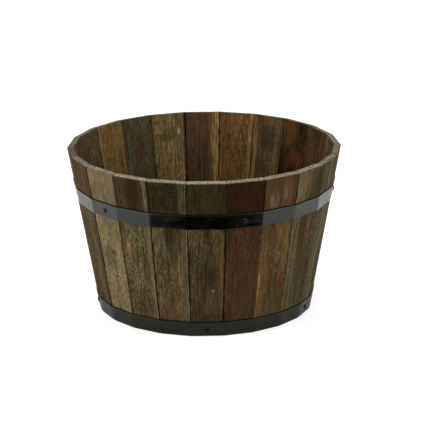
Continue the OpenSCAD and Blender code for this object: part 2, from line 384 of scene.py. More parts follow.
def tint(tree, colour, strength):
    """The colour times a number."""
    grey = add(tree, "CombineColor", {0: strength, 1: strength, 2: strength})
    return blend(tree, 1.0, colour, grey, "MULTIPLY")


def cloud(tree, place, stretch, detail, rough):
    """Noise around 0.5 whose blobs are 1/stretch metres long each way."""
    sized = add(tree, "VectorMath", {0: place, 1: stretch}, operation="MULTIPLY")
    return add(tree, "TexNoise", {"Vector": sized, "Scale": 1.0, "Detail": detail,
                                  "Roughness": rough})


def grain_bump(tree, height, strength, distance):
    """The direction that the surface faces when it is raised by the height."""
    return add(tree, "Bump", {"Height": height, "Strength": strength, "Distance": distance})


def blank(name):
    """New material with its tree and its surface shader."""
    material = bpy.data.materials.new(name)
    material.use_nodes = True
    tree = material.node_tree
    return material, tree, tree.nodes["Principled BSDF"]


def timber(tree, board, figure, tones, grit=1.0):
    """Colour and height of sawn timber that runs along the third axis of `board`: broad
    drift between two tones and from green to red, growth rings each of its own depth, and
    fibres, flecks and pores. `grit` is how strongly the fibres and flecks differ."""
    noise = {key: cloud(tree, board, *NOISE[key])
             for key in ("tone", "wash", "lines", "fleck", "fibre", "pore")}
    lines, fibre = noise["lines"], noise["fibre"]
    wood = blend(tree, band(tree, noise["tone"], 0.40, 0.62), *tones)
    hue = blend(tree, band(tree, noise["wash"], 0.36, 0.64), GREENER, REDDER)
    wood = blend(tree, 1.0, wood, hue, "MULTIPLY")
    wood = tint(tree, wood, band(tree, lines, 0.32, 0.68, *LINE_SHADE))

    # Growth rings: soft early wood darkens to late wood, then breaks off
    rings = calc(tree, "ADD", figure, times(tree, lines, 0.5))
    turn = calc(tree, "FRACT", rings)
    late = times(tree, band(tree, turn, 0.3, 0.92), band(tree, turn, 1.0, 0.92))
    depth = add(tree, "TexWhiteNoise", {"W": calc(tree, "FLOOR", rings)},
                noise_dimensions="1D")
    late = times(tree, late, band(tree, depth, 0.0, 1.0, 0.05, 0.6))
    wood = blend(tree, late, wood, LATE_WOOD, "MULTIPLY")

    for key, low, high, (darker, paler) in (("fleck", 0.34, 0.66, FLECK_SWING),
                                            ("fibre", 0.30, 0.70, FIBRE_SWING)):
        wood = tint(tree, wood, band(tree, noise[key], low, high,
                                     1 - darker * grit, 1 + paler * grit))
    pore = band(tree, noise["pore"], 0.64, 0.72)
    wood = blend(tree, times(tree, pore, 0.6), wood, SOOT_AND_SHADE)
    height = calc(tree, "SUBTRACT",
                  calc(tree, "ADD", fibre, times(tree, noise["fleck"], 0.6)),
                  calc(tree, "ADD", times(tree, pore, 0.8), times(tree, late, 0.5)))
    return wood, fibre, height


# Dirt and painted shade in the joint to the next stave, above and below the upper hoop
JOINTS = {1: (0.7, 1.0), 2: (1.0, 0.2), 3: (1.0, 0.15), 4: (0.55, 0.6), 5: (0.5, 0.4),
          6: (0.6, 0.6), 7: (0.4, 0.7), 8: (0.15, 0.6), 9: (0.2, 0.5), 10: (0.4, 0.8),
          11: (0.9, 0.6), 12: (1.0, 1.0), 13: (0.35, 0.6), 14: (0.25, 0.4), 15: (0.4, 0.8),
          16: (0.3, 0.6), 17: (0.5, 0.5), 18: (0.5, 0.6), 19: (1.0, 1.0), 20: (0.15, 0.65),
          21: (0.85, 1.0), 22: (0.75, 0.95)}


def saw_marks(tree, wood, board, bent, along, outside):
    """The ripples that a coarse saw left across the outer face near the rim, as grime."""
    sway = times(tree, cloud(tree, board, *NOISE["sway"]), SAW_SWAY)
    ripple = calc(tree, "SINE", calc(
        tree, "ADD", sway, times(tree, along, 2 * math.pi / SAW_PITCH)))
    marks = times(tree, band(tree, ripple, -0.1, 0.8),
                  band(tree, along, *SAW_FROM, 0.0, 0.8),
                  band(tree, bent, *SAW_ACROSS, 0.1, 1.0), outside,
                  band(tree, cloud(tree, board, *NOISE["broken"]), 0.38, 0.58, 0.15, 1.0))
    return blend(tree, marks, wood, SOOT_AND_SHADE)


def rim_grain(tree, board, inwards, fibre, ragged, pale):
    """The wiped end grain of the rim, with open pipes between the ends of the growth rings
    and dark towards its two edges, and the share of it that each point has."""
    wood = blend(tree, band(tree, cloud(tree, board, *NOISE["pipes"]), 0.42, 0.56),
                 RIM_GREY, RIM_PALE)
    turn = calc(tree, "FRACT", read(tree, "figure"))
    wood = blend(tree, band(tree, turn, 0.5, 0.95, 0.0, 0.7), wood, RING_END, "MULTIPLY")
    blotch = band(tree, cloud(tree, board, *NOISE["blotch"]), 0.35, 0.65, 0.72, 1.25)
    off = calc(tree, "ABSOLUTE", calc(tree, "SUBTRACT", inwards, STAVE_T / 2))
    brim = band(tree, calc(tree, "ADD", off, times(tree, ragged, RIM_RAGGED)),
                *RIM_DARK, 1.0, 0.35)
    wood = tint(tree, wood, times(tree, brim, blotch, times(
        tree, pale, band(tree, fibre, 0.3, 0.7, 0.7, 1.25))))
    up = times(tree, band(tree, read(tree, "rim"), 0.55, 0.80),
               band(tree, read(tree, "side"), *RIM_JOINT, 0.4, 1.0))
    return wood, up


def stave_finish(number, tones, above=None, streaks=(), patches=(), sawn=False, rim=1.0,
                 outer=1.0, grit=1.0):
    """Stained timber for one stave. Tones are its main and second colour, and `above` the
    (colour, share) of stain that it took above the upper hoop. A streak is (x, half width,
    colour, share), a patch (x, z, half width, half height, colour, share), and both break up
    along the grain and wander, but a fine streak runs straight. `rim` is how pale its end
    grain is. `outer` is how light its outer face is beside the inner one, which alone has
    the patches where they differ, and `grit` how rough its grain looks."""
    material, tree, shader = blank(f"stave_{number:02d}_stained")
    board = read(tree, "board", "Vector")
    wood, fibre, height = timber(tree, board, read(tree, "figure"), tones, grit)
    split = add(tree, "SeparateXYZ", {0: read(tree, "place", "Vector")})
    across, inwards, along = split.node.outputs

    # Stain: above the upper hoop, then streaks and patches
    wander = calc(tree, "SUBTRACT", cloud(tree, board, *NOISE["wander"]), 0.5)
    bent = calc(tree, "ADD", across, times(tree, wander, WANDER))
    ragged = cloud(tree, board, *NOISE["ragged"])
    speckle = band(tree, ragged, 0.3, 0.7, *STAIN_SPECKLE)
    high = band(tree, along, *UNDER_HOOP)
    outside = band(tree, inwards, *OUTER_SKIN)
    patched = 1.0 if outer == 1.0 else calc(tree, "SUBTRACT", 1.0, outside)
    if above:
        wood = blend(tree, times(tree, high, above[1]), wood, tint(tree, above[0], speckle))
    for x, half, colour, share in streaks:
        middle = bent if half > FINE_STREAK else across
        off = calc(tree, "ABSOLUTE", calc(tree, "SUBTRACT", middle, x))
        inside = times(tree, band(tree, off, half * 1.5, half * 0.5),
                       band(tree, ragged, 0.32, 0.58, 0.2, 1.0), share)
        wood = blend(tree, inside, wood, tint(tree, colour, speckle))
    for x, z, half, tall, colour, share in patches:
        far_x = calc(tree, "DIVIDE", calc(tree, "SUBTRACT", bent, x), half)
        far_z = calc(tree, "DIVIDE", calc(tree, "SUBTRACT", along, z), tall)
        far = calc(tree, "SQRT", calc(tree, "ADD", times(tree, far_x, far_x),
                                      times(tree, far_z, far_z)))
        inside = times(tree, band(tree, far, 1.3, 0.3),
                       band(tree, ragged, 0.32, 0.60, 0.4 * share, share), patched)
        wood = blend(tree, inside, wood, tint(tree, colour, speckle))
    if sawn:
        wood = saw_marks(tree, wood, board, bent, along, outside)

    # Dirt and painted shade in the joints, painted shade over each hoop, rubbed arrises
    joints = (JOINTS[(number - 2) % STAVE_COUNT + 1], JOINTS[number])
    left, right = (add(tree, "Mix", {0: high, 2: below, 3: over}) for over, below in joints)
    dark = add(tree, "Mix", {0: band(tree, across, -0.01, 0.01), 2: left, 3: right})
    # Painted shade with dirt: the face beside each joint is darkened as if shaded in the groove
    near_joint = band(tree, calc(tree, "ADD", read(tree, "side"),
                                 times(tree, ragged, JOINT_RAGGED)), *JOINT_DIRT_AND_SHADE)
    wood = blend(tree, times(tree, near_joint, dark), wood, SOOT_AND_SHADE)
    rubbed = times(tree, band(tree, read(tree, "wear"), 0.1, 0.7),
                   band(tree, ragged, 0.46, 0.62, 0.0, 0.85))
    wood = blend(tree, rubbed, wood, RUBBED)
    # Painted shade with dirt: the rounded arris that turns into the joint is darkened
    in_joint = band(tree, read(tree, "joint"), 0.10, 0.45)
    wood = blend(tree, times(tree, in_joint, dark), wood, SOOT_AND_SHADE)
    if outer != 1.0:
        wood = tint(tree, wood, band(tree, outside, 0.0, 1.0, 1.0, outer))
    # Painted shade: a dark line on the wood along the top edge of each hoop, running on under
    # the strip
    for top in HOOP_TOPS:
        over = calc(tree, "ADD", calc(tree, "SUBTRACT", along, top),
                    times(tree, ragged, HOOP_RAGGED))
        hoop_shade = times(tree, band(tree, over, *HOOP_SHADE),
                     band(tree, over, *UNDER_STRIP, 0.0, 0.95), outside)
        wood = blend(tree, hoop_shade, wood, SOOT_AND_SHADE)

    end_grain, up = rim_grain(tree, board, inwards, fibre, ragged, rim)
    dull = calc(tree, "ADD", band(tree, fibre, 0.3, 0.7, *OIL_DULL), times(tree, up, 0.2))
    join(tree, shader, {"Base Color": blend(tree, up, wood, end_grain), "Roughness": dull,
                        "Specular IOR Level": 0.04,
                        "Normal": grain_bump(tree, height, 0.5, 0.0005)})
    return material


# Each stave: the pith of its tree (x, depth, lean) and the width of a ring, its tones, how
# pale its rim is, then what marks it: knots (x, z, size), streaks and patches. Measures are
# from the middle of its foot, across a board of even width.
STAVES = {
    1: dict(grain=((0.03, 0.045, 0.06), 0.0045), tones=(WALNUT, UMBER_DEEP), rim=1.2,
            above=(SMOKE, 0.82),
            patches=[(0.004, 0.124, 0.015, 0.026, SMOKE, 0.85),
                     (0.012, 0.0948, 0.0048, 0.002, RIM_PALE, 0.9),
                     (0.0, 0.07, 0.03, 0.02, RUSSET, 0.5),
                     (0.024, 0.1, 0.006, 0.12, RUSSET, 0.7),
                     (0.029, 0.12, 0.0035, 0.1, AMBER, 0.6),
                     (-0.004, 0.15, 0.024, 0.07, DARK_RED, 0.16),
                     (0.006, 0.066, 0.0065, 0.008, ORANGE, 0.55),
                     (0.019, 0.04, 0.007, 0.01, SMOKE, 0.6),
                     (0.0, 0.04, 0.04, 0.024, UMBER_DEEP, 0.6)]),
    2: dict(grain=((-0.08, 0.03, 0.05), 0.005), tones=(RUSSET, UMBER_DEEP),
            above=(DARK_RED, 0.92),
            patches=[(0.002, 0.06, 0.02, 0.05, RUSSET, 0.5),
                     (0.0, 0.12, 0.045, 0.09, PLUM, 0.35),
                     (0.0, 0.15, 0.045, 0.1, DARK_RED, 0.32)]),
    3: dict(grain=((0.01, 0.04, -0.08), 0.004), tones=(WALNUT, RUSSET),
            above=(RUSSET, 0.8), grit=1.15,
            streaks=[(0.016, 0.006, AMBER, 0.3)],
            patches=[(-0.02, 0.1, 0.014, 0.12, AMBER, 0.55),
                     (-0.0325, 0.08, 0.0045, 0.08, SAPWOOD, 0.75),
                     (0.024, 0.17, 0.008, 0.06, HONEY, 0.55),
                     (0.004, 0.19, 0.012, 0.05, TAN, 0.4),
                     (-0.012, 0.262, 0.014, 0.022, TAN, 0.5),
                     (0.012, 0.28, 0.008, 0.016, TAN, 0.4),
                     (0.012, 0.06, 0.02, 0.04, UMBER, 0.8),
                     (0.0, 0.05, 0.05, 0.04, OLIVE_DEEP, 0.3)]),
    4: dict(grain=((0.07, 0.06, 0.02), 0.0038), tones=(WALNUT, OLIVE_DEEP), rim=0.92,
            grit=1.35,
            streaks=[(-0.029, 0.0028, TAN, 0.7), (0.008, 0.004, UMBER_DEEP, 0.8),
                     (-0.014, 0.005, TAN, 0.5), (0.024, 0.005, UMBER_DEEP, 0.6)],
            patches=[(-0.006, 0.28, 0.02, 0.03, HONEY, 0.2),
                     (-0.026, 0.278, 0.009, 0.045, WHEAT, 0.55),
                     (0.0, 0.19, 0.013, 0.07, UMBER_DEEP, 0.9),
                     (0.022, 0.28, 0.012, 0.04, UMBER_DEEP, 0.8),
                     (0.0305, 0.112, 0.003, 0.014, SMOKE, 1.0),
                     (0.0305, 0.16, 0.0025, 0.008, SMOKE, 0.9),
                     (0.0, 0.06, 0.05, 0.05, OLIVE_DEEP, 0.4)]),
    5: dict(grain=((-0.05, 0.05, 0.04), 0.0035), tones=(MOSS, OLIVE_DEEP), rim=0.78,
            above=(OLIVE_DEEP, 0.95), grit=1.3,
            streaks=[(-0.002, 0.0022, SMOKE, 0.8), (0.006, 0.004, TAN, 0.7),
                     (-0.024, 0.005, UMBER_DEEP, 0.6)]),
    6: dict(grain=((0.02, 0.05, 0.07), 0.0042), tones=(OLIVE, UMBER), rim=0.66),
    7: dict(grain=((-0.09, 0.04, 0.03), 0.004), tones=(UMBER, OLIVE_DEEP), rim=0.9,
            streaks=[(0.01, 0.006, TAN, 0.5)]),
    8: dict(grain=((0.06, 0.04, 0.05), 0.0045), tones=(RUSSET, UMBER_DEEP), rim=0.85,
            outer=0.7,
            patches=[(0.01, 0.25, 0.014, 0.05, ORANGE, 0.35)]),
    9: dict(grain=((-0.02, 0.05, 0.06), 0.0048), tones=(UMBER_DEEP, DARK_RED), rim=0.75,
            outer=0.8,
            patches=[(0.014, 0.292, 0.02, 0.04, ORANGE, 0.5),
                     (-0.012, 0.238, 0.028, 0.018, ORANGE, 0.3)]),
    10: dict(grain=((0.08, 0.04, 0.02), 0.004), tones=(WALNUT, UMBER), rim=0.75, outer=0.8,
             grit=1.15,
             streaks=[(0.028, 0.005, HONEY, 0.8), (-0.024, 0.005, HONEY, 0.6),
                      (0.01, 0.006, RUSSET, 0.6)],
             patches=[(0.002, 0.266, 0.016, 0.026, SMOKE, 0.8),
                      (-0.008, 0.302, 0.018, 0.012, AMBER, 0.7)]),
    11: dict(grain=((0.02, 0.04, 0.08), 0.0044), tones=(AMBER, AMBER), rim=0.75, outer=0.7,
             grit=1.1,
             streaks=[(-0.029, 0.004, SAPWOOD, 0.7), (-0.014, 0.004, UMBER, 0.6),
                      (0.018, 0.01, RUSSET, 0.5)]),
    12: dict(grain=((-0.07, 0.05, 0.04), 0.0046), tones=(PLUM, PLUM), rim=0.75, outer=0.7,
             grit=0.65,
             streaks=[(-0.027, 0.0072, SAPWOOD, 0.95), (-0.017, 0.005, AMBER, 0.7)],
             patches=[(-0.022, 0.245, 0.008, 0.05, SAPWOOD, 0.5)]),
    13: dict(grain=((0.0, 0.045, 0.07), 0.004), tones=(HONEY, TAN), rim=0.75, outer=0.7,
             knots=[(-0.02, 0.28, 0.008)],
             streaks=[(-0.031, 0.0018, UMBER_DEEP, 0.9)],
             patches=[(0.004, 0.266, 0.026, 0.012, OLIVE_DEEP, 0.85),
                      (0.02, 0.276, 0.008, 0.006, SAPWOOD, 0.7),
                      (-0.019, 0.29, 0.007, 0.02, ORANGE, 0.6),
                      (-0.019, 0.275, 0.005, 0.007, RIM_PALE, 0.6)]),
    14: dict(grain=((0.09, 0.05, 0.02), 0.0042), tones=(OLIVE_DEEP, MOSS), rim=0.75, outer=0.8,
             streaks=[(0.004, 0.008, UMBER, 0.5)]),
    15: dict(grain=((-0.03, 0.045, 0.05), 0.004), tones=(HONEY, AMBER), rim=0.75, outer=0.7,
             grit=1.15,
             streaks=[(0.03, 0.0025, SAPWOOD, 0.7)],
             patches=[(0.0, 0.292, 0.024, 0.03, RUSSET, 0.35)]),
    16: dict(grain=((0.05, 0.05, 0.03), 0.0038), tones=(WALNUT, UMBER), rim=0.68, outer=0.8),
    17: dict(grain=((-0.06, 0.05, 0.05), 0.0043), tones=(UMBER, RUSSET), rim=0.66),
    18: dict(grain=((0.03, 0.04, 0.04), 0.004), tones=(OLIVE_DEEP, MOSS), rim=0.44),
    19: dict(grain=((0.08, 0.045, 0.03), 0.0036), tones=(UMBER, WALNUT), rim=0.72,
             above=(DARK_RED, 0.3), grit=1.35,
             streaks=[(0.03, 0.003, SMOKE, 1.0), (0.022, 0.004, UMBER_DEEP, 0.6),
                      (0.006, 0.006, TAN, 0.3), (-0.014, 0.004, UMBER_DEEP, 0.5)],
             patches=[(0.0, 0.29, 0.06, 0.05, RUSSET, 0.5)]),
    20: dict(grain=((-0.01, 0.05, 0.05), 0.0042), tones=(WHEAT, WHEAT), rim=0.95,
             knots=[(0.0028, 0.083, 0.006)], above=(TAN, 0.5), grit=1.3,
             patches=[(0.024, 0.275, 0.01, 0.04, OLIVE, 0.6),
                      (-0.01, 0.146, 0.02, 0.012, OLIVE, 0.6),
                      (0.001, 0.15, 0.007, 0.007, SMOKE, 0.75),
                      (-0.024, 0.138, 0.006, 0.006, OLIVE_DEEP, 0.9),
                      (-0.003, 0.131, 0.003, 0.008, SMOKE, 0.8),
                      (0.0, 0.055, 0.05, 0.034, OLIVE, 0.4),
                      (0.0028, 0.083, 0.006, 0.011, UMBER, 0.8),
                      (0.0028, 0.083, 0.0038, 0.007, WHEAT, 0.9)]),
    21: dict(grain=((0.06, 0.04, 0.06), 0.004), tones=(OLIVE, WALNUT), rim=1.18,
             above=(UMBER_DEEP, 0.8), grit=1.35,
             streaks=[(0.028, 0.004, TAN, 0.8), (-0.03, 0.0016, SMOKE, 0.6)],
             patches=[(0.006, 0.05, 0.024, 0.045, UMBER_DEEP, 0.7),
                      (0.004, 0.28, 0.017, 0.06, DARK_RED, 0.95)]),
    22: dict(grain=((-0.01, 0.042, 0.09), 0.0042), tones=(OLIVE, UMBER), rim=1.05, sawn=True,
             above=(SMOKE, 0.86), grit=1.1,
             streaks=[(0.024, 0.005, MOSS, 0.6), (0.0312, 0.0012, WHEAT, 0.6)],
             patches=[(-0.012, 0.205, 0.02, 0.016, WALNUT, 0.7),
                      (0.001, 0.207, 0.0122, 0.042, UMBER_DEEP, 1.0),
                      (0.001, 0.209, 0.0095, 0.04, DARK_RED, 0.5),
                      (-0.009, 0.056, 0.012, 0.022, RUSSET, 0.4),
                      (0.004, 0.05, 0.016, 0.03, AMBER, 0.35)]),
}

for number, look in STAVES.items():
    grain, knots = look.pop("grain"), look.pop("knots", ())
    stave(number, stave_finish(number, **look), *grain, knots)


# ---- Head ------------------------------------------------------------------------------
# Five boards edge to edge with dowels between, turned to a disc whose bevelled edge sits in
# the croze. Planed, stained like the staves, and bored with five drain holes.

HEAD_TONES = [(UMBER, OLIVE_DEEP), (OLIVE_DEEP, MOSS), (RUSSET, PLUM), (OLIVE, UMBER),
              (UMBER_DEEP, RUSSET)]
HEAD_PITCH = 0.07819
HEAD_R = 0.188
HEAD_RING = 0.0042
HEAD_PITH = 0.05
HEAD_TAPER = 0.04
HEAD_SOIL = ((160, 300, 300), 4.0, 0.65)
SOIL_RAGGED = 0.006
JOINT_SOIL = 0.0025
RIM_SOIL = (HEAD_R - 0.006, HEAD_R + 0.004)
DAMP_WIDTH = 0.016
DRAIN_R = 0.006
DRAINS = {2: 0.085, 3: 0.0, 4: 0.085}


def soil_head(tree, wood, place, middle, drain):
    """Dirt along the long edges of the head board whose middle lies at y, round the rim of
    the head, and as a damp ring about each of its drains at +-x."""
    ragged = times(tree, cloud(tree, place, *HEAD_SOIL), SOIL_RAGGED)
    x, y = add(tree, "SeparateXYZ", {0: place}).node.outputs[:2]
    off = calc(tree, "ABSOLUTE", calc(tree, "SUBTRACT", y, middle))
    half = HEAD_PITCH / 2
    joint = band(tree, calc(tree, "ADD", off, ragged), half, half + JOINT_SOIL)
    wood = blend(tree, joint, wood, SOOT_AND_SHADE)
    reach = add(tree, "VectorMath", {0: place}, 1, operation="LENGTH")
    rim = band(tree, calc(tree, "ADD", reach, ragged), *RIM_SOIL, 0.0, 0.8)
    wood = blend(tree, rim, wood, SOOT_AND_SHADE)
    if drain is not None:
        aside = calc(tree, "SUBTRACT", calc(tree, "ABSOLUTE", x), drain)
        away = calc(tree, "SQRT", calc(tree, "ADD", times(tree, aside, aside),
                                       times(tree, off, off)))
        damp = band(tree, calc(tree, "ADD", away, ragged), DRAIN_R, DRAIN_R + DAMP_WIDTH,
                    0.85, 0.0)
        wood = blend(tree, damp, wood, UMBER_DEEP)
    return wood


def head_finish(name, tones, shift, soiling=None):
    """Timber that runs along X, with rings that taper slowly about a pith under the board,
    which `shift` places. `soiling`, the (middle, drain) of a head board, adds its grime."""
    material, tree, shader = blank(name)
    place = add(tree, "TexCoord", {}, "Object")
    board = add(tree, "Mapping", {"Vector": place, "Location": shift,
                                  "Rotation": (0, math.pi / 2, 0)})
    off_pith = add(tree, "VectorMath", {0: board, 1: (1, 1, HEAD_TAPER)},
                   operation="MULTIPLY")
    reach = add(tree, "VectorMath", {0: off_pith}, 1, operation="LENGTH")
    figure = calc(tree, "DIVIDE", reach, HEAD_RING)
    wood, fibre, height = timber(tree, board, figure, tones)
    if soiling:
        wood = soil_head(tree, wood, place, *soiling)
    dull = band(tree, fibre, 0.3, 0.7, *OIL_DULL)
    join(tree, shader, {"Base Color": wood, "Roughness": dull, "Specular IOR Level": 0.10,
                        "Normal": grain_bump(tree, height, 0.4, 0.0004)})
    return material


def refinish(node, material):
    """Gives a CAD node that keeps its own shape its finish."""
    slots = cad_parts[node].data.materials
    slots.clear()
    slots.append(material)


# Each board is cut from another place along and across its tree
MIDDLE_BOARD = 3
for count, tones in enumerate(HEAD_TONES, 1):
    shift = (HEAD_PITH, 0.3 + 0.17 * count, 0.5 * count)
    soiling = ((count - MIDDLE_BOARD) * HEAD_PITCH, DRAINS.get(count))
    refinish(f"head_board_{count}", head_finish(f"head_{count}_stained", tones, shift, soiling))

refinish("head_dowels", head_finish("dowel_bare", (SAPWOOD, TAN), (0.02, 0.1, 0.0)))


# ---- Hoops -----------------------------------------------------------------------------
# Black painted steel strip, bent at every stave joint and pulled tight. The outer end steps
# over the inner one and is riveted to it on a stave at the back.

STRIP_W = HOOP_W * math.cos(LEAN)
STRIP_T = 0.0012
STRIP_OFF = 0.0001
STRIP_EDGE = 0.0004
EDGE_POINTS = 5
FACE_POINTS = 12
UPPER_LOW, LOWER_LOW = ((top - HOOP_W) * math.cos(LEAN) for top in HOOP_TOPS)
UPPER_BEND = 0.018
LOWER_BEND = 0.070
BEND_POINTS = 3
UPPER_LAP = 13
LOWER_LAP = 12
LAP_HALF = 0.018
STEP_FROM = 0.023
STEP_TO = 0.019
LAP_RISE = STRIP_T + 0.0001
STATION = 0.0025
PAINT = (0.0012, 0.0013, 0.0012)
PAINT_DUST = (0.006, 0.007, 0.004)
UPPER_TINT = (0.95, 1.0, 0.91, 1.0)
LOWER_TINT = (0.86, 0.91, 0.68, 1.0)
PRIMER = (0.050, 0.046, 0.042)

# Noise in the paint: blobs per metre along, across and out of the strip, detail, roughness
PAINT_NOISE = dict(dust=((30, 90, 90), 5.0, 0.65), scuff=((160, 700, 700), 4.0, 0.7),
                   lines=((5, 420, 420), 3.0, 0.6), peel=((700, 700, 700), 2.0, 0.55))


def strip_path():
    """Stations of the strip's path from the inner end to the outer one, as columns: stave
    counted from the lap, set place across it, share of its flat width, angle round the bend
    and share of the step up. Across a stave x is place + share * flat width."""
    def stations(held, share, bend=0.0, rise=0.0):
        """Rows of the path, from one number or one for each row in every column."""
        return np.stack(np.broadcast_arrays(0.0, held, share, bend, rise), -1)

    def leg(start, end, count, low=0.0, high=0.0):
        """Rows from one (place, share) to another that step up softly from low to high."""
        along = np.linspace(0, 1, count)
        held = start[0] + (end[0] - start[0]) * along
        share = start[1] + (end[1] - start[1]) * along
        rise = low + (high - low) * (0.5 - 0.5 * np.cos(math.pi * along))
        return stations(held, share, 0.0, rise)

    half = STEP / 2
    bend = np.linspace(0, half, BEND_POINTS + 1)[1:]
    flat = np.linspace(1, -1, 2 * round(FOOT_R * math.tan(half) / STATION) + 1)
    into = stations(0.0, 1.0, bend[-2::-1])
    out_of = stations(0.0, -1.0, -bend)
    facet = np.concatenate([into, stations(0.0, flat), out_of])
    turns = np.repeat(facet[None], STAVE_COUNT - 1, 0)
    turns[:, :, 0] = -np.arange(1, STAVE_COUNT)[:, None]

    first = np.concatenate([leg((LAP_HALF, 0), (0, -1), 20), out_of])
    last = np.concatenate([into, leg((0, 1), (STEP_FROM, 0), 6)[:-1],
                           leg((STEP_FROM, 0), (STEP_TO, 0), 8, 0.0, 1.0),
                           leg((STEP_TO, 0), (-LAP_HALF, 0), 16, 1.0, 1.0)[1:]])
    last[:, 0] = -STAVE_COUNT
    return np.concatenate([first, turns.reshape(-1, 5), last])


def strip_section():
    """Section of the strip, as rows of (distance out, height): a rectangle with rounded
    corners, from the lower edge out, up the outer face, over the top and down inside."""
    def rows(out, up):
        """Rows of the section, from one number or one for each row in both columns."""
        return np.stack(np.broadcast_arrays(out, up), -1)

    turn = np.linspace(0, math.pi / 2, EDGE_POINTS)
    rise = np.linspace(STRIP_EDGE, STRIP_W - STRIP_EDGE, FACE_POINTS)[1:-1]
    out = STRIP_OFF + STRIP_T - STRIP_EDGE + STRIP_EDGE * np.sin(turn)
    off = STRIP_OFF + STRIP_EDGE - STRIP_EDGE * np.sin(turn)
    low = STRIP_EDGE - STRIP_EDGE * np.cos(turn)
    return np.concatenate([rows(out, low), rows(STRIP_OFF + STRIP_T, rise),
                           rows(out, STRIP_W - low)[::-1], rows(off, STRIP_W - low),
                           rows(STRIP_OFF, rise[::-1]), rows(off, low)[::-1]])


def hoop(name, node, low, lap_stave, bend_inner, shift, material):
    """The section carried along the path. At height z a plane that lies o outside the staves
    is R = foot radius + z tan(lean) + o / cos(lean) from the axis, and the bend between two
    such planes has a radius of its own plus o. `shift` sets its noise apart."""
    path, section = strip_path(), strip_section()
    turns, held, share, bend, rise = (path[:, i, None] for i in range(5))
    out = section[None, :, 0] + LAP_RISE * rise
    up = low + section[None, :, 1] + 0 * out
    plane_r = FOOT_R + up * math.tan(LEAN) + out / math.cos(LEAN)
    bend_r = bend_inner + out
    x = held + share * (plane_r - bend_r) * math.tan(STEP / 2) + bend_r * np.sin(bend)
    radius = plane_r - bend_r + bend_r * np.cos(bend)
    angle = (lap_stave - 1 + turns) * STEP + 0 * x
    points = around(angle, x, -radius, up)

    stations, ring = out.shape
    grid = np.arange(stations * ring).reshape(stations, ring)
    after = np.roll(grid, -1, axis=1)
    skin = np.stack([grid[:-1], grid[1:], after[1:], after[:-1]], -1).reshape(-1, 4)
    half = np.arange(ring // 2 - 1)
    cap = np.stack([half, half + 1, ring - 2 - half, ring - 1 - half], -1)
    quads = np.concatenate([skin, cap, grid[-1][cap[:, ::-1]]])
    length = np.concatenate([[0], np.cumsum(np.linalg.norm(
        np.diff(points[:, 0], axis=0), axis=-1))])[:, None] + 0 * out
    strip = np.stack([length, up, out], -1).reshape(-1, 3)
    edge = np.abs(section[:, 1] / STRIP_W - 0.5) * 2
    make_piece(name, node, "hoop_steel", material, points.reshape(-1, 3), quads,
               strip=strip + shift, edge=np.broadcast_to(edge, out.shape).reshape(-1))


def paint_finish(name, gloss, on_strip=True, rough=0.0, shine=0.5):
    """Black paint: rolling lines and a fine orange peel in its surface, thin dust and, on a
    strip, a few places along the edges where it is rubbed to the primer. `gloss` colours its
    shine, and `shine` is the strength of it."""
    material, tree, shader = blank(name)
    place = read(tree, "strip", "Vector") if on_strip else add(tree, "TexCoord", {}, "Object")
    noise = {key: cloud(tree, place, *values) for key, values in PAINT_NOISE.items()}
    dust = noise["dust"]
    colour = blend(tree, band(tree, dust, 0.45, 0.75, 0.0, 0.6), PAINT, PAINT_DUST)
    if on_strip:
        worn = times(tree, band(tree, read(tree, "edge"), 0.93, 1.0),
                     band(tree, noise["scuff"], 0.56, 0.66), 0.7)
        colour = blend(tree, worn, colour, PRIMER)
    height = calc(tree, "ADD", noise["lines"], times(tree, noise["peel"], 0.15))
    join(tree, shader, {"Base Color": colour, "IOR": 1.55, "Specular IOR Level": shine,
                        "Specular Tint": gloss,
                        "Roughness": band(tree, dust, 0.35, 0.7, 0.16 + rough, 0.30 + rough),
                        "Normal": grain_bump(tree, height, 0.2, 0.0001)})
    return material


hoop("upper_hoop_strip", "upper_hoop", low=UPPER_LOW, lap_stave=UPPER_LAP,
     bend_inner=UPPER_BEND, shift=0.0, material=paint_finish("upper_hoop_black", UPPER_TINT))
hoop("lower_hoop_strip", "lower_hoop", low=LOWER_LOW, lap_stave=LOWER_LAP,
     bend_inner=LOWER_BEND, shift=2.0, material=paint_finish("lower_hoop_black", LOWER_TINT))


# ---- Nails and rivets ------------------------------------------------------------------
# Clout nails with domed heads, five round each hoop, and two domed rivets that close each
# lap. All black, painted with the hoops.

NAIL = dict(head_r=0.00525, head_h=0.0024, shank_r=0.0014, shank=0.0123, point=0.004)
RIVET = dict(head_r=0.0040, head_h=0.0018, shank_r=0.00225, shank=0.0024, point=0.0)
HEAD_SEAT = 0.00005
HEAD_DENT = 0.00012
DISC_POINTS = 13
RIVET_OFF = 0.009
NAIL_TINT = (0.80, 0.80, 0.76, 1.0)
UPPER_NAILED = (20, 2, 6, 11, 15)
LOWER_NAILED = (1, 5, 9, 14, 18)


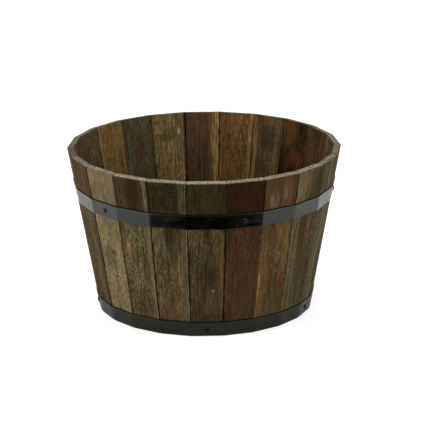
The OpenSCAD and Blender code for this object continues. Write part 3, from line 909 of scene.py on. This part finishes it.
def fasteners(name, node, sites, rise, low, form, seed, material):
    """Domed heads on shanks at (stave, x) sites. A point (a, b, ring) of a block goes to the
    disc place (a sqrt(1 - b b / 2), b sqrt(1 - a a / 2)), times the radius that the profile
    has at that ring, at the height that it has there: shank from its tip, then head. The top
    is raised to a spherical dome, hammered a little uneven."""
    head_r, head_h, shank_r, shank, point = form.values()

    # (radius, height) of each ring
    profile = np.array([(0.25 * shank_r if point else shank_r, -shank),
                        (shank_r, point - shank), (shank_r, -0.001),
                        (shank_r, -HEAD_SEAT / 2), (head_r * 0.96, HEAD_SEAT),
                        (head_r, HEAD_SEAT + 0.0001), (head_r * 0.985, HEAD_SEAT + 0.0003)])
    grid = np.linspace(-1, 1, DISC_POINTS)
    a, b, ring, quads = box_skin(grid, grid, np.arange(len(profile)))
    p = a * np.sqrt(1 - b * b / 2)
    q = b * np.sqrt(1 - a * a / 2)
    radius, depth = profile[ring].T
    far = p * p + q * q
    dome = (head_h - profile[-1, 1]) * (np.sqrt(1.5 - far) - math.sqrt(0.5)) / (
        math.sqrt(1.5) - math.sqrt(0.5))
    top = ring == len(profile) - 1
    rng = np.random.default_rng(seed)
    shapes = []
    for _ in sites:
        dents = HEAD_DENT * (1 - far) * drift(rng, p, q, 1.1, 1.1)
        shapes.append(depth + top * (dome - np.abs(dents)))
    high = np.array(shapes)
    number, x = np.array(sites, float).T[:, :, None]
    x = x + p * radius
    y = -STRIP_OFF - STRIP_T - rise - high
    z = low / math.cos(LEAN) + HOOP_W / 2 + q * radius
    points = on_stave(number, x, y, z)
    first = np.arange(len(sites))[:, None, None] * len(a)
    make_piece(name, node, "nail_steel", material, points.reshape(-1, 3),
               (quads[None] + first).reshape(-1, 4))


nail_paint = paint_finish("nail_black", NAIL_TINT, on_strip=False, rough=-0.08, shine=0.22)
low_nail_paint = paint_finish("low_nail_black", NAIL_TINT, on_strip=False, rough=0.10,
                              shine=0.20)
fasteners("upper_hoop_nail_heads", "upper_hoop_nails", [(n, 0) for n in UPPER_NAILED],
          rise=0.0, low=UPPER_LOW, form=NAIL, seed=31, material=nail_paint)
fasteners("lower_hoop_nail_heads", "lower_hoop_nails", [(n, 0) for n in LOWER_NAILED],
          rise=0.0, low=LOWER_LOW, form=NAIL, seed=32, material=low_nail_paint)
fasteners("upper_hoop_rivet_heads", "upper_hoop_rivets",
          [(UPPER_LAP, -RIVET_OFF), (UPPER_LAP, RIVET_OFF)],
          rise=LAP_RISE, low=UPPER_LOW, form=RIVET, seed=33, material=nail_paint)
fasteners("lower_hoop_rivet_heads", "lower_hoop_rivets",
          [(LOWER_LAP, -RIVET_OFF), (LOWER_LAP, RIVET_OFF)],
          rise=LAP_RISE, low=LOWER_LOW, form=RIVET, seed=34, material=low_nail_paint)


# ---- Floor, light and camera -----------------------------------------------------------
# A pale floor under soft light from both sides, a black card that only the gloss sees, and
# the camera at the photograph's place.

FLOOR_HALF = 8.0
WHITE = (1.0, 1.0, 1.0, 1.0)
BLACK = (0.0, 0.0, 0.0, 1.0)
FLOOR_PAINT = (0.80, 0.80, 0.79, 1.0)
FLOOR_GLOW = 0.60
GLOSS_GLOW = 0.50
GLOW_NEAR = 0.30
GLOW_FAR = 0.75
SKY = 0.50
CARD = dict(half=0.42, front=-2.50, back=-0.38, height=0.004)
CARD_GLOW = 0.45
CARD_MIDDLE = 0.02
CARD_BORDER = (0.28, 0.36)
VIEW_REACH = 4.152
VIEW_RISE = 0.305629
VIEW_TURN = math.radians(-0.74)
AIM_DOWN = 0.29973
AIM_RIGHT = 0.00280
AIM_ROLL = -0.007253
LENS = 187.0


def plate(name, material, half, front, back, height):
    """One flat face of the stage, level, `half` to each side and from front to back."""
    mesh = bpy.data.meshes.new(name)
    corners = [(-half, front), (half, front), (half, back), (-half, back)]
    mesh.from_pydata([(x, y, height) for x, y in corners], [], [(0, 1, 2, 3)])
    mesh.materials.append(material)
    piece = bpy.data.objects.new(name, mesh)
    bpy.context.scene.collection.objects.link(piece)
    return piece


def seen_rays(tree, for_camera, for_gloss):
    """A strength for rays from the camera and one for rays from gloss or through glass."""
    path = add(tree, "LightPath", {}, "Is Camera Ray")
    gloss = calc(tree, "MAXIMUM", path.node.outputs["Is Glossy Ray"],
                 path.node.outputs["Is Transmission Ray"])
    return calc(tree, "ADD", times(tree, path, for_camera), times(tree, gloss, for_gloss))


floor_paint, tree, shader = blank("floor_white")
away = add(tree, "VectorMath", {0: add(tree, "TexCoord", {}, "Object")}, 1, operation="LENGTH")
glow = band(tree, away, GLOW_NEAR, GLOW_FAR, 0.0, GLOSS_GLOW)
join(tree, shader, {"Base Color": FLOOR_PAINT, "Roughness": 0.9, "Emission Color": WHITE,
                    "Emission Strength": seen_rays(tree, FLOOR_GLOW, glow)})
plate("floor", floor_paint, FLOOR_HALF, -FLOOR_HALF, FLOOR_HALF, 0.0)

card_black, tree, shader = blank("card_black")
sideways = add(tree, "SeparateXYZ", {0: add(tree, "TexCoord", {}, "Object")})
sideways = calc(tree, "ABSOLUTE", calc(tree, "SUBTRACT", sideways, CARD_MIDDLE))
join(tree, shader, {"Base Color": BLACK, "Specular IOR Level": 0.0, "Emission Color": WHITE,
                    "Emission Strength": band(tree, sideways, *CARD_BORDER, 0.0, CARD_GLOW)})
card = plate("gloss_card", card_black, **CARD)
card.visible_camera = False
card.visible_diffuse = False
card.visible_shadow = False
card.visible_transmission = False


def softbox(name, place, size, power):
    """A soft rectangular lamp that looks at the middle of the tub."""
    light = bpy.data.lights.new(name, "AREA")
    light.shape = "RECTANGLE"
    light.size, light.size_y = size
    light.energy = power
    lamp = bpy.data.objects.new(name, light)
    lamp.location = place
    lamp.rotation_euler = (Vector((0, 0, TUB_H / 2)) - lamp.location).to_track_quat(
        "-Z", "Y").to_euler()
    bpy.context.scene.collection.objects.link(lamp)


softbox("left_softbox", place=(-2.3, -0.9, 1.3), size=(1.4, 1.8), power=24)
softbox("right_softbox", place=(2.3, -0.9, 1.3), size=(1.4, 1.8), power=20)
softbox("top_softbox", place=(0.0, 0.2, 2.6), size=(2.0, 2.0), power=14)

world = bpy.data.worlds.new("studio")
bpy.context.scene.world = world
world.use_nodes = True
tree = world.node_tree
join(tree, tree.nodes["Background"], {
    "Color": WHITE,
    "Strength": calc(tree, "ADD", seen_rays(tree, 1 - SKY, 1 - SKY), SKY)})

camera = bpy.data.objects.new("camera", bpy.data.cameras.new("camera"))
camera.data.lens = LENS
camera.data.sensor_width = 36.0
camera.data.clip_end = 100.0
stand = Vector((0, -VIEW_REACH * math.cos(VIEW_RISE),
                VIEW_REACH * math.sin(VIEW_RISE) + TUB_H / 2))
turn = Matrix.Rotation(VIEW_TURN, 4, "Z")
camera.matrix_world = Matrix.Translation(turn @ stand) @ Matrix.Rotation(
    VIEW_TURN - AIM_RIGHT, 4, "Z") @ Matrix.Rotation(
    math.pi / 2 - AIM_DOWN, 4, "X") @ Matrix.Rotation(AIM_ROLL, 4, "Z")
bpy.context.scene.collection.objects.link(camera)
bpy.context.scene.camera = camera
bpy.context.scene.view_settings.view_transform = "Standard"
